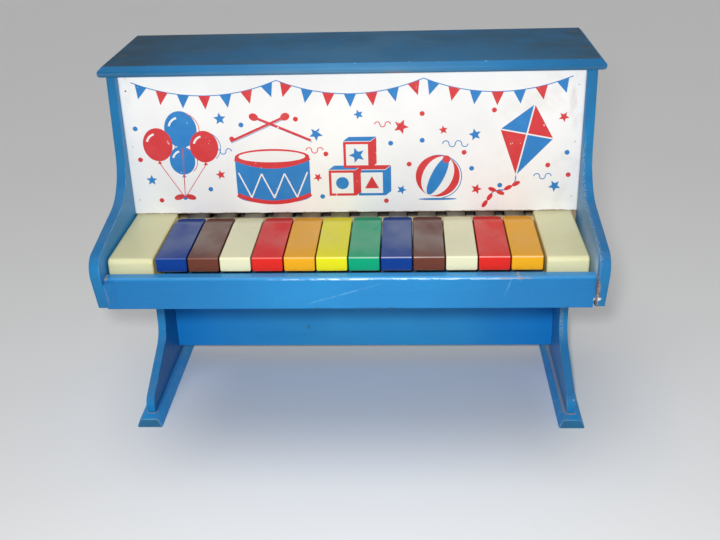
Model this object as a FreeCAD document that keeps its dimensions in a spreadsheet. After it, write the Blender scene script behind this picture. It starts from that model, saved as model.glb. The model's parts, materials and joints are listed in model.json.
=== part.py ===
import FreeCAD, Part
import Sketcher
import math
import os
from types import SimpleNamespace

# Toy upright piano of painted wood, with moulded keys that throw hammers at flat tone bars.
# Millimetres, +X right, +Y back, +Z up. The origin is on the floor under the middle of the box.

KEYS = 12
LAST = KEYS - 1

SIZES = {
    # overall: lid length, nose to rear of the feet, floor to lid
    "case_width": 375.0,
    "case_depth": 215.2,
    "case_height": 304.5,
    # lid, panel and back
    "lid_thick": 8.0,
    "lid_side_over": 5.5,
    "lid_front_over": 3.5,
    "lid_slope": 3.5,
    "lid_under_round": 2.5,
    "panel_thick": 3.0,
    "panel_recess": 4.0,
    "back_thick": 3.0,
    "cleat_size": 10.0,
    # outline of the side boards
    "side_thick": 7.4,
    "upper_depth": 107.2,
    "cheek_flare": 5.0,
    "arm_height": 41.6,
    "arm_rise": 16.3,
    "arm_curve": 36.0,
    "arm_rake": 8.5,
    "nose_round": 12.0,
    "nose_flat": 1.4,
    "chin_round": 12.0,
    "leg_depth": 55.2,
    "leg_top_curve": 15.0,
    "toe_length": 120.2,
    "toe_back": 49.3,
    "toe_front": 20.7,
    "toe_curve": 20.0,
    "toe_round": 9.0,
    # foot bars
    "foot_front_over": 10.0,
    "foot_back_over": 8.0,
    "foot_width": 21.1,
    "foot_top_width": 15.4,
    "foot_height": 8.5,
    "foot_step": 1.4,
    "foot_round": 4.5,
    # key bed, knee board and key slip
    "bed_bottom": 149.8,
    "bed_thick": 8.0,
    "knee_thick": 8.0,
    "knee_inset": 20.5,
    "knee_bottom": 17.3,
    "slip_setback": 7.1,
    "slip_thick": 8.8,
    "slip_drop": 0.8,
    "slip_front_round": 2.0,
    "slip_back_round": 1.5,
    # end blocks
    "block_width": 30.0,
    "block_side_gap": 3.9,
    "left_block_gap": 0.9,
    "block_key_gap": 2.4,
    "block_front_gap": 1.2,
    "block_drop": 1.0,
    "block_round": 4.0,
    # keys
    "key_height": 27.7,
    "key_gap": 0.9,
    "key_front_gap": 1.4,
    "key_rear_gap": 6.8,
    "key_travel": 7.4,
    "cap_height": 11.0,
    "cap_wall": 1.5,
    "cap_heel": 13.0,
    "cap_front_round": 1.5,
    "cap_slope_length": 16.0,
    "cap_slope_drop": 2.6,
    "cap_slope_round": 25.0,
    "cap_corner": 4.0,
    "tail_width": 14.0,
    "tail_height": 13.0,
    "tail_drop": 5.5,
    "tail_root": 8.0,
    "pivot_inset": 6.0,
    "rod_radius": 1.5,
    "bore_clear": 0.05,
    # comb, guides, stops and rests of the keys
    "comb_depth": 10.0,
    "comb_drop": 1.0,
    "slot_clear": 0.5,
    "slot_room": 3.0,
    "guide_ahead": 20.5,
    "guide_depth": 12.0,
    "guide_height": 6.0,
    "blade_thick": 0.4,
    "blade_length": 11.0,
    "blade_drop": 4.0,
    "blade_seat": 4.0,
    "stop_setback": 2.0,
    "stop_depth": 8.0,
    "rest_inset": 8.0,
    "rest_depth": 10.0,
    "felt_thick": 2.5,
    # hammers
    "hammer_inset": 6.0,
    "hammer_angle": 20.0,
    "hammer_rod_radius": 1.25,
    "head_radius": 5.0,
    "hub_radius": 4.5,
    "hub_width": 9.0,
    "stem_half": 2.2,
    "stem_width": 5.0,
    "beak_reach": 14.0,
    "beak_length": 3.0,
    "beak_drop": 5.7,
    "beak_relief": 2.4,
    "beak_rise": 0.8,
    "beak_gap": 0.5,
    "hammer_rail_depth": 8.5,
    "hammer_rail_over": 4.0,
    "hammer_slot_clear": 0.5,
    "hammer_slot_room": 2.0,
    # tone bars and their rails
    "bar_foot_room": 14.0,
    "bar_head_room": 5.5,
    "bar_back_room": 16.0,
    "bar_last": 70.0,
    "bar_width": 16.0,
    "bar_thick": 2.0,
    "bar_still_share": 0.276,
    "strike_gap": 0.5,
    "bar_rail_depth": 10.0,
    "bar_rail_height": 10.0,
    "bar_felt_thick": 3.0,
    "bar_felt_height": 6.0,
    "bar_felt_margin": 2.0,
    # screws and nails
    "screw_radius": 1.4,
    "screw_clear": 0.4,
    "screw_depth": 6.0,
    "screw_head_radius": 3.0,
    "screw_head_thick": 1.6,
    "foot_screw_radius": 1.75,
    "foot_screw_length": 20.0,
    "foot_screw_head_radius": 3.4,
    "foot_screw_head_thick": 2.0,
    "foot_screw_sink": 1.0,
    "foot_screw_back": 20.0,
    "foot_screw_front": 35.0,
    "nail_radius": 0.9,
    "nail_length": 22.0,
    "lid_nail_front": 35.0,
    "lid_nail_back": 11.0,
    "bed_nail_margin": 20.0,
    "knee_nail_margin": 25.0,
    "brad_radius": 0.7,
    "brad_length": 10.0,
    "panel_brad_margin": 12.0,
    "back_brad_margin": 15.0,
}


class Size:
    """A length with its formula on the sheet and its present value."""

    def __init__(self, text, value):
        self.text = text
        self.value = value

    def __add__(self, other):
        other = size(other)
        return Size(f"({self.text} + {other.text})", self.value + other.value)

    def __radd__(self, other):
        return size(other) + self

    def __sub__(self, other):
        other = size(other)
        return Size(f"({self.text} - {other.text})", self.value - other.value)

    def __rsub__(self, other):
        return size(other) - self

    def __mul__(self, other):
        other = size(other)
        return Size(f"({self.text} * {other.text})", self.value * other.value)

    def __rmul__(self, other):
        return size(other) * self

    def __truediv__(self, other):
        other = size(other)
        return Size(f"({self.text} / {other.text})", self.value / other.value)

    def __neg__(self):
        return Size(f"(0 - {self.text})", -self.value)


def size(number):
    """A plain number as a Size; a Size stays as it is."""
    if isinstance(number, Size):
        return number
    return Size(f"({number})", float(number))


def sine(angle):
    return Size(f"sin({angle.text})", math.sin(math.radians(angle.value)))


def cosine(angle):
    return Size(f"cos({angle.text})", math.cos(math.radians(angle.value)))


doc = FreeCAD.newDocument("ToyPiano")
sheet = doc.addObject("Spreadsheet::Sheet", "Dims")
for row, (name, value) in enumerate(SIZES.items(), start=1):
    sheet.set(f"A{row}", name)
    sheet.set(f"B{row}", str(value))
    sheet.setAlias(f"B{row}", name)
doc.recompute()

d = SimpleNamespace(**{name: Size(f"Dims.{name}", value) for name, value in SIZES.items()})
nodes = []


def node(piece):
    """Keep a finished piece for writing."""
    nodes.append(piece)
    return piece


def board(label, x, y, z):
    """Box between low and high limits on each axis."""
    solid = doc.addObject("Part::Box", label)
    for side, axis, (low, high) in (("Length", "x", x), ("Width", "y", y), ("Height", "z", z)):
        solid.setExpression(side, (size(high) - low).text)
        solid.setExpression(f"Placement.Base.{axis}", size(low).text)
    return solid


TURNS = {
    "x": FreeCAD.Rotation(FreeCAD.Vector(0, 1, 0), 90),
    "y": FreeCAD.Rotation(FreeCAD.Vector(1, 0, 0), -90),
    "z": FreeCAD.Rotation(),
}


def place(solid, spot):
    """Bind the three coordinates of a solid's base point."""
    for axis, where in zip("xyz", spot):
        solid.setExpression(f"Placement.Base.{axis}", size(where).text)


def pin(label, axis, spot, length, radius):
    """Cylinder from its base point along +X, +Y or +Z."""
    solid = doc.addObject("Part::Cylinder", label)
    solid.Placement = FreeCAD.Placement(FreeCAD.Vector(), TURNS[axis])
    solid.setExpression("Radius", radius.text)
    solid.setExpression("Height", length.text)
    place(solid, spot)
    return solid


def group(label, members):
    """Separate solids kept together under one name."""
    bundle = doc.addObject("Part::Compound", label)
    bundle.Links = members
    return bundle


def cut(label, base, tool):
    piece = doc.addObject("Part::Cut", label)
    piece.Base = base
    piece.Tool = tool
    return piece


def fuse(label, base, tool):
    piece = doc.addObject("Part::Fuse", label)
    piece.Base = base
    piece.Tool = tool
    return piece


def flat_sketch(body, plane, label):
    sketch = body.newObject("Sketcher::SketchObject", label)
    support = next(face for face in body.Origin.OriginFeatures if face.Role == plane)
    sketch.AttachmentSupport = [(support, "")]
    sketch.MapMode = "FlatFace"
    return sketch


def bind_points(sketch, first, targets):
    """Tie points to the sketch's origin: targets are (geometry, point, across, up)."""
    rules = []
    formulas = []
    for geometry, point, across, up in targets:
        for rule, distance in (("DistanceX", across), ("DistanceY", up)):
            rules.append(Sketcher.Constraint(rule, -1, 1, geometry, point, distance.value))
            formulas.append(distance.text)
    sketch.addConstraint(rules)
    for step, formula in enumerate(formulas):
        sketch.setExpression(f"Constraints[{first + step}]", formula)


def outline(body, plane, label, points):
    """Sketch of a closed polygon through the given (across, up) points."""
    sketch = flat_sketch(body, plane, label)
    points = [(size(across), size(up)) for across, up in points]
    spots = [FreeCAD.Vector(across.value, up.value, 0) for across, up in points]
    count = len(spots)
    sketch.addGeometry([Part.LineSegment(spots[k], spots[(k + 1) % count]) for k in range(count)])
    sketch.addConstraint([Sketcher.Constraint("Coincident", k, 2, (k + 1) % count, 1) for k in range(count)])
    bind_points(sketch, count, [(k, 1, across, up) for k, (across, up) in enumerate(points)])
    return sketch


def rings(body, plane, label, circles):
    """Sketch of circles, each (across, up, radius)."""
    sketch = flat_sketch(body, plane, label)
    circles = [tuple(size(part) for part in circle) for circle in circles]
    normal = FreeCAD.Vector(0, 0, 1)
    for across, up, radius in circles:
        centre = FreeCAD.Vector(across.value, up.value, 0)
        sketch.addGeometry(Part.Circle(centre, normal, radius.value))
    for k, (across, up, radius) in enumerate(circles):
        rule = sketch.addConstraint(Sketcher.Constraint("Radius", k, radius.value))
        sketch.setExpression(f"Constraints[{rule}]", radius.text)
    bind_points(sketch, len(circles), [(k, 3, across, up) for k, (across, up, _) in enumerate(circles)])
    return sketch


def extrude(body, sketch, width, kind="Pad"):
    """Pad or pocket, as wide to one side of the sketch as to the other."""
    feature = body.newObject(f"PartDesign::{kind}", f"{sketch.Name}_{kind.lower()}")
    feature.Profile = sketch
    feature.SideType = "Symmetric"
    feature.setExpression("Length", width.text)
    return feature


def lies_at(edge, x=None, y=None, z=None):
    """Whether an edge keeps to the given coordinates along its whole length."""
    box = edge.BoundBox
    spans = ((box.XMin, box.XMax, x), (box.YMin, box.YMax, y), (box.ZMin, box.ZMax, z))
    for low, high, wanted in spans:
        if wanted is None:
            continue
        if abs(low - size(wanted).value) > 0.001 or abs(high - size(wanted).value) > 0.001:
            return False
    return True


def ease(body, kind, measure, amount, spots):
    """Fillet or chamfer the edges of the body that lie at any of the given coordinates."""
    doc.recompute()
    tip = body.Tip
    edges = enumerate(tip.Shape.Edges, start=1)
    names = [f"Edge{k}" for k, edge in edges if any(lies_at(edge, **spot) for spot in spots)]
    feature = body.newObject(f"PartDesign::{kind}", f"{body.Name}_{kind.lower()}")
    feature.Base = (tip, names)
    feature.setExpression(measure, amount.text)
    return feature


def round_off(body, radius, spots):
    return ease(body, "Fillet", "Radius", radius, spots)


def slope_off(body, width, spots):
    return ease(body, "Chamfer", "Size", width, spots)


def slab(label, plane, points, width):
    """Body made of one polygon, extruded to both sides of its plane."""
    body = doc.addObject("PartDesign::Body", label)
    extrude(body, outline(body, plane, f"{label}_outline", points), width)
    return body


# main planes of the case
rear = d.case_depth / 2
nose = -d.case_depth / 2
back = rear - d.foot_back_over
board_back = back - d.back_thick
edge_front = back - d.upper_depth
panel_front = edge_front + d.panel_recess
panel_back = panel_front + d.panel_thick
slip_front = nose + d.slip_setback
slip_back = slip_front + d.slip_thick
outer = d.case_width / 2 - d.lid_side_over
inner = outer - d.side_thick
side_mid = inner + d.side_thick / 2
lid_bottom = d.case_height - d.lid_thick
bed_top = d.bed_bottom + d.bed_thick
knee_front = board_back - d.knee_inset
leg_front = board_back - d.leg_depth
toe_tip = board_back - d.toe_length
foot_front = toe_tip - d.foot_front_over

# keys between the end blocks, from the slip to the panel
block_outer = inner - d.block_side_gap
block_inner = block_outer - d.block_width
key_pitch = (2 * (block_inner - d.block_key_gap) + d.key_gap) / KEYS
cap_width = key_pitch - d.key_gap
cap_front = slip_back + d.key_front_gap
cap_rear = panel_front - d.key_rear_gap
cap_top = bed_top + d.key_height
cap_bottom = cap_top - d.cap_height
slip_top = cap_bottom - d.slip_drop
block_top = cap_top - d.block_drop
pivot_y = cap_rear + d.pivot_inset
tail_top = cap_top - d.tail_drop
tail_bottom = tail_top - d.tail_height
pivot_z = tail_top - d.tail_height / 2

# tone bars and hammers, from the back
bar_rail_front = board_back - d.bar_back_room - d.bar_rail_depth
bar_rail_mid = bar_rail_front + d.bar_rail_depth / 2
bar_felt_front = bar_rail_front - d.bar_felt_thick
bar_front = bar_felt_front - d.bar_thick
hammer_y = bar_front - d.strike_gap - d.head_radius
hammer_z = tail_top + d.beak_gap + d.beak_drop
tail_end = hammer_y - d.hammer_inset
bar_low = bed_top + d.bar_foot_room
bar_high = lid_bottom - d.bar_head_room
bar_first = bar_high - bar_low
strike_z = (bar_low + bar_high) / 2
hammer_reach = strike_z - hammer_z


def key_x(k):
    """Middle of key k."""
    return (k - LAST / 2) * key_pitch


def still_z(x, side):
    """Height of the bars' still points at x, above (+1) or below (-1) the strike line."""
    middle = (bar_first + d.bar_last) / 2
    length = middle - (bar_first - d.bar_last) / LAST * (size(x) / key_pitch)
    return strike_z + side * d.bar_still_share * length


def spread(low, high, margin, count):
    """Even steps between two limits, with a margin at both ends."""
    step = (high - low - 2 * margin) / (count - 1)
    return [low + margin + k * step for k in range(count)]


# nails and screws
lid_nails = []
side_nails = []
panel_nails = []
back_nails = []
foot_screws = []
foot_sinks = []
for side, hand in ((-1, "left"), (1, "right")):
    for k, nail_y in enumerate((edge_front + d.lid_nail_front, board_back - d.lid_nail_back)):
        spot = (side * side_mid, nail_y, d.case_height - d.nail_length)
        lid_nails.append(pin(f"{hand}_lid_nail_{k}", "z", spot, d.nail_length, d.nail_radius))
    bed_mid = d.bed_bottom + d.bed_thick / 2
    targets = [(y, bed_mid) for y in spread(slip_back, board_back, d.bed_nail_margin, 3)]
    targets.append((slip_front + d.slip_thick / 2, (d.bed_bottom + slip_top) / 2))
    knee_mid = knee_front + d.knee_thick / 2
    targets += [(knee_mid, z) for z in spread(d.knee_bottom, d.bed_bottom, d.knee_nail_margin, 2)]
    targets += [(bar_rail_mid, still_z(side * inner, level)) for level in (-1, 1)]
    nail_x = -outer if side < 0 else outer - d.nail_length
    for k, (nail_y, nail_z) in enumerate(targets):
        spot = (nail_x, nail_y, nail_z)
        side_nails.append(pin(f"{hand}_side_nail_{k}", "x", spot, d.nail_length, d.nail_radius))
    cleat_mid = inner - d.cleat_size / 2
    for k, nail_z in enumerate(spread(block_top, lid_bottom, d.panel_brad_margin, 3)):
        spot = (side * cleat_mid, panel_front, nail_z)
        panel_nails.append(pin(f"{hand}_panel_nail_{k}", "y", spot, d.brad_length, d.brad_radius))
    for k, nail_z in enumerate(spread(d.bed_bottom, lid_bottom, d.back_brad_margin, 4)):
        spot = (side * side_mid, back - d.brad_length, nail_z)
        back_nails.append(pin(f"{hand}_back_nail_{k}", "y", spot, d.brad_length, d.brad_radius))
    for k, screw_y in enumerate((toe_tip + d.foot_screw_front, board_back - d.foot_screw_back)):
        head = doc.addObject("Part::Cone", f"{hand}_foot_screw_head_{k}")
        head.setExpression("Radius1", d.foot_screw_head_radius.text)
        head.setExpression("Radius2", d.foot_screw_radius.text)
        head.setExpression("Height", d.foot_screw_head_thick.text)
        place(head, (side * side_mid, screw_y, d.foot_screw_sink))
        spot = (side * side_mid, screw_y, d.foot_screw_sink + d.foot_screw_head_thick)
        shank_length = d.foot_screw_length - d.foot_screw_head_thick
        shank = pin(f"{hand}_foot_screw_shank_{k}", "z", spot, shank_length, d.foot_screw_radius)
        foot_screws.append(fuse(f"{hand}_foot_screw_{k}", head, shank))
        spot = (side * side_mid, screw_y, 0)
        sink = pin(f"{hand}_foot_sink_{k}", "z", spot, d.foot_screw_sink, d.foot_screw_head_radius)
        foot_sinks.append(sink)
lid_nails = node(group("lid_nails", lid_nails))
side_nails = node(group("side_nails", side_nails))
panel_nails = node(group("panel_nails", panel_nails))
back_nails = node(group("back_nails", back_nails))
foot_screws = node(group("foot_screws", foot_screws))
side_holes = group("side_holes", [lid_nails, side_nails, back_nails, foot_screws])
foot_holes = group("foot_holes", [foot_screws] + foot_sinks)

# side boards: cheek, arm, leg and toe in one outline
arm_front_top = d.bed_bottom + d.arm_height
arm_back_top = arm_front_top + d.arm_rise
nose_low = arm_front_top - d.nose_round - d.nose_flat
cheek_low = edge_front - d.cheek_flare
side_outline = [
    (board_back, d.foot_height),
    (board_back, lid_bottom),
    (edge_front, lid_bottom),
    (cheek_low, arm_back_top),
    (nose, arm_front_top),
    (nose, nose_low),
    (nose + d.arm_rake, d.bed_bottom),
    (leg_front, d.bed_bottom),
    (leg_front, d.toe_back),
    (toe_tip, d.toe_front),
    (toe_tip, d.foot_height),
]
side_curves = [
    (d.arm_curve, cheek_low, arm_back_top),
    (d.nose_round, nose, arm_front_top),
    (d.chin_round, nose, nose_low),
    (d.leg_top_curve, leg_front, d.bed_bottom),
    (d.toe_curve, leg_front, d.toe_back),
    (d.toe_round, toe_tip, d.toe_front),
]
for side, hand in ((-1, "left"), (1, "right")):
    blank = slab(f"{hand}_side_blank", "YZ_Plane", side_outline, d.side_thick)
    for radius, y, z in side_curves:
        round_off(blank, radius, [{"y": y, "z": z}])
    blank.setExpression("Placement.Base.x", (side * side_mid).text)
    node(cut(f"{hand}_side", blank, side_holes))

# foot bars under the side boards
foot_outline = [
    (-d.foot_width / 2, 0),
    (d.foot_width / 2, 0),
    (d.foot_width / 2, d.foot_step),
    (d.foot_top_width / 2, d.foot_height),
    (-d.foot_top_width / 2, d.foot_height),
    (-d.foot_width / 2, d.foot_step),
]
for side, hand in ((-1, "left"), (1, "right")):
    blank = slab(f"{hand}_foot_blank", "XZ_Plane", foot_outline, rear - foot_front)
    shoulders = [{"x": s * d.foot_top_width / 2, "z": d.foot_height} for s in (-1, 1)]
    round_off(blank, d.foot_round, shoulders)
    place(blank, (side * side_mid, (foot_front + rear) / 2, 0))
    node(cut(f"{hand}_foot", blank, foot_holes))

# lid with sloped front and side edges, rounded underneath
lid_front = edge_front - d.lid_front_over
lid_outline = [
    (lid_front, lid_bottom),
    (back, lid_bottom),
    (back, d.case_height),
    (lid_front, d.case_height),
]
blank = slab("lid_blank", "YZ_Plane", lid_outline, d.case_width)
half = d.case_width / 2
top_edges = [{"y": lid_front, "z": d.case_height}] + [{"x": s * half, "z": d.case_height} for s in (-1, 1)]
slope_off(blank, d.lid_slope, top_edges)
low_edges = [{"y": lid_front, "z": lid_bottom}] + [{"x": s * half, "z": lid_bottom} for s in (-1, 1)]
round_off(blank, d.lid_under_round, low_edges)
node(cut("top_lid", blank, lid_nails))

# boards between the sides, and the back
across = (-inner, inner)
blank = board("panel_blank", across, (panel_front, panel_back), (block_top, lid_bottom))
node(cut("front_panel", blank, panel_nails))
blank = board("back_blank", (-outer, outer), (board_back, back), (d.bed_bottom, lid_bottom))
node(cut("back_panel", blank, back_nails))
blank = board("bed_blank", across, (slip_back, board_back), (d.bed_bottom, bed_top))
node(cut("key_bed", blank, side_nails))
knee_limits = (knee_front, knee_front + d.knee_thick)
blank = board("knee_blank", across, knee_limits, (d.knee_bottom, d.bed_bottom))
node(cut("knee_board", blank, side_nails))
slip_outline = [
    (slip_front, d.bed_bottom),
    (slip_back, d.bed_bottom),
    (slip_back, slip_top),
    (slip_front, slip_top),
]
blank = slab("slip_blank", "YZ_Plane", slip_outline, 2 * inner)
round_off(blank, d.slip_front_round, [{"y": slip_front, "z": slip_top}])
round_off(blank, d.slip_back_round, [{"y": slip_back, "z": slip_top}])
node(cut("key_slip", blank, side_nails))

# end blocks beside the keys, and the cleats behind the panel
block_outline = [
    (slip_back + d.block_front_gap, bed_top),
    (panel_back, bed_top),
    (panel_back, block_top),
    (slip_back + d.block_front_gap, block_top),
]
for side, hand in ((-1, "left"), (1, "right")):
    block_gap = d.left_block_gap if side < 0 else d.block_side_gap
    block_width = inner - block_gap - block_inner
    block = node(slab(f"{hand}_end_block", "YZ_Plane", block_outline, block_width))
    round_off(block, d.block_round, [{"y": slip_back + d.block_front_gap, "z": block_top}])
    block.setExpression("Placement.Base.x", (side * (block_inner + block_width / 2)).text)
    low = -inner if side < 0 else inner - d.cleat_size
    limits = (panel_back, panel_back + d.cleat_size)
    blank = board(f"{hand}_cleat_blank", (low, low + d.cleat_size), limits, (bed_top, lid_bottom))
    node(cut(f"{hand}_cleat", blank, panel_nails))

# comb that carries the keys on their rod
between = (-block_inner, block_inner)
comb_top = tail_top - d.comb_drop
comb_limits = (pivot_y - d.comb_depth / 2, pivot_y + d.comb_depth / 2)
blank = board("comb_blank", between, comb_limits, (bed_top, comb_top))
spot = (-block_inner, pivot_y, pivot_z)
pivot_rod = node(pin("pivot_rod", "x", spot, 2 * block_inner, d.rod_radius))
slot_half = d.tail_width / 2 + d.slot_clear
openings = [pivot_rod]
for k in range(KEYS):
    limits = (key_x(k) - slot_half, key_x(k) + slot_half)
    openings.append(board(f"comb_slot_{k}", limits, comb_limits, (tail_bottom - d.slot_room, comb_top)))
node(cut("balance_rail", blank, group("comb_openings", openings)))

# thin guides between the caps, set into a rail
guide_mid = cap_rear - d.guide_ahead
guide_limits = (guide_mid - d.guide_depth / 2, guide_mid + d.guide_depth / 2)
blade_top = cap_top - d.blade_drop
guide_top = bed_top + d.guide_height
blades = []
for k in range(LAST):
    middle = key_x(k) + key_pitch / 2
    thin = (middle - d.blade_thick / 2, middle + d.blade_thick / 2)
    limits = (guide_mid - d.blade_length / 2, guide_mid + d.blade_length / 2)
    blades.append(board(f"blade_{k}", thin, limits, (guide_top - d.blade_seat, blade_top)))
blades = node(group("guide_blades", blades))
blank = board("guide_blank", between, guide_limits, (bed_top, guide_top))
node(cut("guide_rail", blank, blades))

# stop under the front of the caps and rest under the tails
stop_front = cap_front + d.stop_setback
stop_limits = (stop_front, stop_front + d.stop_depth)
stop_top = cap_bottom - d.key_travel
node(board("stop_rail", between, stop_limits, (bed_top, stop_top - d.felt_thick)))
node(board("stop_felt", between, stop_limits, (stop_top - d.felt_thick, stop_top)))
rest_back = tail_end - d.rest_inset
rest_limits = (rest_back - d.rest_depth, rest_back)
node(board("rest_rail", across, rest_limits, (bed_top, tail_bottom - d.felt_thick)))
node(board("rest_felt", between, rest_limits, (tail_bottom - d.felt_thick, tail_bottom)))

# keys: hollow cap, tail and rod bore
cap_outline = [
    (cap_front, cap_bottom),
    (cap_rear, cap_bottom),
    (cap_rear, cap_top - d.cap_slope_drop),
    (cap_rear - d.cap_slope_length, cap_top),
    (cap_front, cap_top),
]
hollow_outline = [
    (cap_front + d.cap_wall, cap_bottom),
    (cap_rear - d.cap_heel, cap_bottom),
    (cap_rear - d.cap_heel, cap_top - d.cap_wall),
    (cap_front + d.cap_wall, cap_top - d.cap_wall),
]
tail_outline = [
    (cap_rear - d.tail_root, tail_bottom),
    (tail_end, tail_bottom),
    (tail_end, tail_top),
    (cap_rear - d.tail_root, tail_top),
]
for k in range(KEYS):
    label = f"key_{k + 1:02d}"
    key = node(slab(label, "YZ_Plane", cap_outline, cap_width))
    corners = [{"x": s * cap_width / 2, "y": cap_rear} for s in (-1, 1)]
    round_off(key, d.cap_corner, corners)
    round_off(key, d.cap_slope_round, [{"y": cap_rear - d.cap_slope_length, "z": cap_top}])
    round_off(key, d.cap_front_round, [{"y": cap_front, "z": cap_top}])
    hollow = outline(key, "YZ_Plane", f"{label}_hollow", hollow_outline)
    extrude(key, hollow, cap_width - 2 * d.cap_wall, "Pocket")
    extrude(key, outline(key, "YZ_Plane", f"{label}_tail", tail_outline), d.tail_width)
    bore = rings(key, "YZ_Plane", f"{label}_bore", [(pivot_y, pivot_z, d.rod_radius + d.bore_clear)])
    extrude(key, bore, 2 * d.tail_width, "Pocket")
    key.setExpression("Placement.Base.x", key_x(k).text)

# hammers: stem, head, hub and beak that rests over the key's tail
lean_sin = sine(d.hammer_angle)
lean_cos = cosine(d.hammer_angle)


def on_stem(along, aside):
    """Point of the leaning stem, from the hammer's pivot."""
    y = hammer_y - along * lean_sin + aside * lean_cos
    z = hammer_z + along * lean_cos + aside * lean_sin
    return (y, z)


beak_tip = hammer_y - d.beak_reach
hammer_outline = [
    (beak_tip, hammer_z - d.beak_drop),
    (beak_tip + d.beak_length, hammer_z - d.beak_drop),
    (beak_tip + d.beak_length, hammer_z - d.beak_relief),
    (hammer_y, hammer_z - d.beak_relief),
    on_stem(size(0), d.stem_half),
    on_stem(hammer_reach, d.stem_half),
    on_stem(hammer_reach, -d.stem_half),
    on_stem(2 * d.stem_half, -d.stem_half),
    (beak_tip, hammer_z + d.beak_rise),
]
head_y, head_z = on_stem(hammer_reach, size(0))
for k in range(KEYS):
    label = f"hammer_{k + 1:02d}"
    hammer = node(slab(label, "YZ_Plane", hammer_outline, d.stem_width))
    circles = [(hammer_y, hammer_z, d.hub_radius), (head_y, head_z, d.head_radius)]
    extrude(hammer, rings(hammer, "YZ_Plane", f"{label}_rounds", circles), d.hub_width)
    bore = [(hammer_y, hammer_z, d.hammer_rod_radius + d.bore_clear)]
    extrude(hammer, rings(hammer, "YZ_Plane", f"{label}_bore", bore), 2 * d.hub_width, "Pocket")
    hammer.setExpression("Placement.Base.x", key_x(k).text)

# slotted rail and rod of the hammers
rail_limits = (hammer_y - d.hammer_rail_depth / 2, hammer_y + d.hammer_rail_depth / 2)
rail_top = hammer_z + d.hammer_rail_over
blank = board("hammer_rail_blank", across, rail_limits, (bed_top, rail_top))
hammer_rod = node(pin("hammer_rod", "x", (-inner, hammer_y, hammer_z), 2 * inner, d.hammer_rod_radius))
slot_half = d.hub_width / 2 + d.hammer_slot_clear
slot_floor = hammer_z - d.hub_radius - d.hammer_slot_room
openings = [hammer_rod]
for k in range(KEYS):
    limits = (key_x(k) - slot_half, key_x(k) + slot_half)
    openings.append(board(f"hammer_slot_{k}", limits, rail_limits, (slot_floor, rail_top)))
node(cut("hammer_rail", blank, group("hammer_openings", openings)))

# tone bars, each screwed through its two still points
bars = []
bar_screws = []
for k in range(KEYS):
    length = bar_first - (bar_first - d.bar_last) * k / LAST
    limits = (key_x(k) - d.bar_width / 2, key_x(k) + d.bar_width / 2)
    ends = (strike_z - length / 2, strike_z + length / 2)
    bar = board(f"bar_blank_{k}", limits, (bar_front, bar_felt_front), ends)
    holes = []
    for level, place_word in ((-1, "low"), (1, "high")):
        still = still_z(key_x(k), level)
        hole_label = f"bar_hole_{k}_{place_word}"
        spot = (key_x(k), bar_front, still)
        holes.append(pin(hole_label, "y", spot, d.bar_thick, d.screw_radius + d.screw_clear))
        shank_length = d.bar_thick + d.bar_felt_thick + d.screw_depth
        shank = pin(f"bar_shank_{k}_{place_word}", "y", spot, shank_length, d.screw_radius)
        spot = (key_x(k), bar_front - d.screw_head_thick, still)
        head = pin(f"bar_head_{k}_{place_word}", "y", spot, d.screw_head_thick, d.screw_head_radius)
        bar_screws.append(fuse(f"bar_screw_{k}_{place_word}", head, shank))
    bars.append(cut(f"bar_{k}", bar, group(f"bar_holes_{k}", holes)))
node(group("tone_bars", bars))
bar_screws = node(group("bar_screws", bar_screws))
rail_holes = group("rail_holes", [bar_screws, side_nails])


def strip(label, half_length, level, height, front, depth):
    """Slanted strip that follows the still points of the bars."""
    points = []
    for x, edge in ((-half_length, -1), (half_length, -1), (half_length, 1), (-half_length, 1)):
        points.append((x, still_z(x, level) + edge * height / 2))
    body = slab(label, "XZ_Plane", points, depth)
    body.setExpression("Placement.Base.y", (front + depth / 2).text)
    return body


felt_half = LAST / 2 * key_pitch + d.bar_width / 2 + d.bar_felt_margin
for level, word in ((-1, "lower"), (1, "upper")):
    label = f"{word}_bar_rail"
    blank = strip(f"{label}_blank", inner, level, d.bar_rail_height, bar_rail_front, d.bar_rail_depth)
    node(cut(label, blank, rail_holes))
    label = f"{word}_bar_felt"
    blank = strip(f"{label}_blank", felt_half, level, d.bar_felt_height, bar_felt_front, d.bar_felt_thick)
    node(cut(label, blank, bar_screws))

doc.recompute()
faults = []
for item in doc.Objects:
    if "Invalid" in item.State or "Error" in item.State:
        faults.append(f"{item.Label}: {item.State}")
for piece in nodes:
    if piece.Shape.isNull() or not piece.Shape.isValid():
        faults.append(f"{piece.Label}: bad shape")
if faults:
    raise RuntimeError("; ".join(faults))

os.makedirs("parts", exist_ok=True)
for piece in nodes:
    piece.Shape.exportStep(f"parts/{piece.Label}.step")
print(len(nodes), "pieces written")
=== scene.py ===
import json
import math
import random

import bmesh
import bpy
from mathutils import Matrix, Vector


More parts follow.
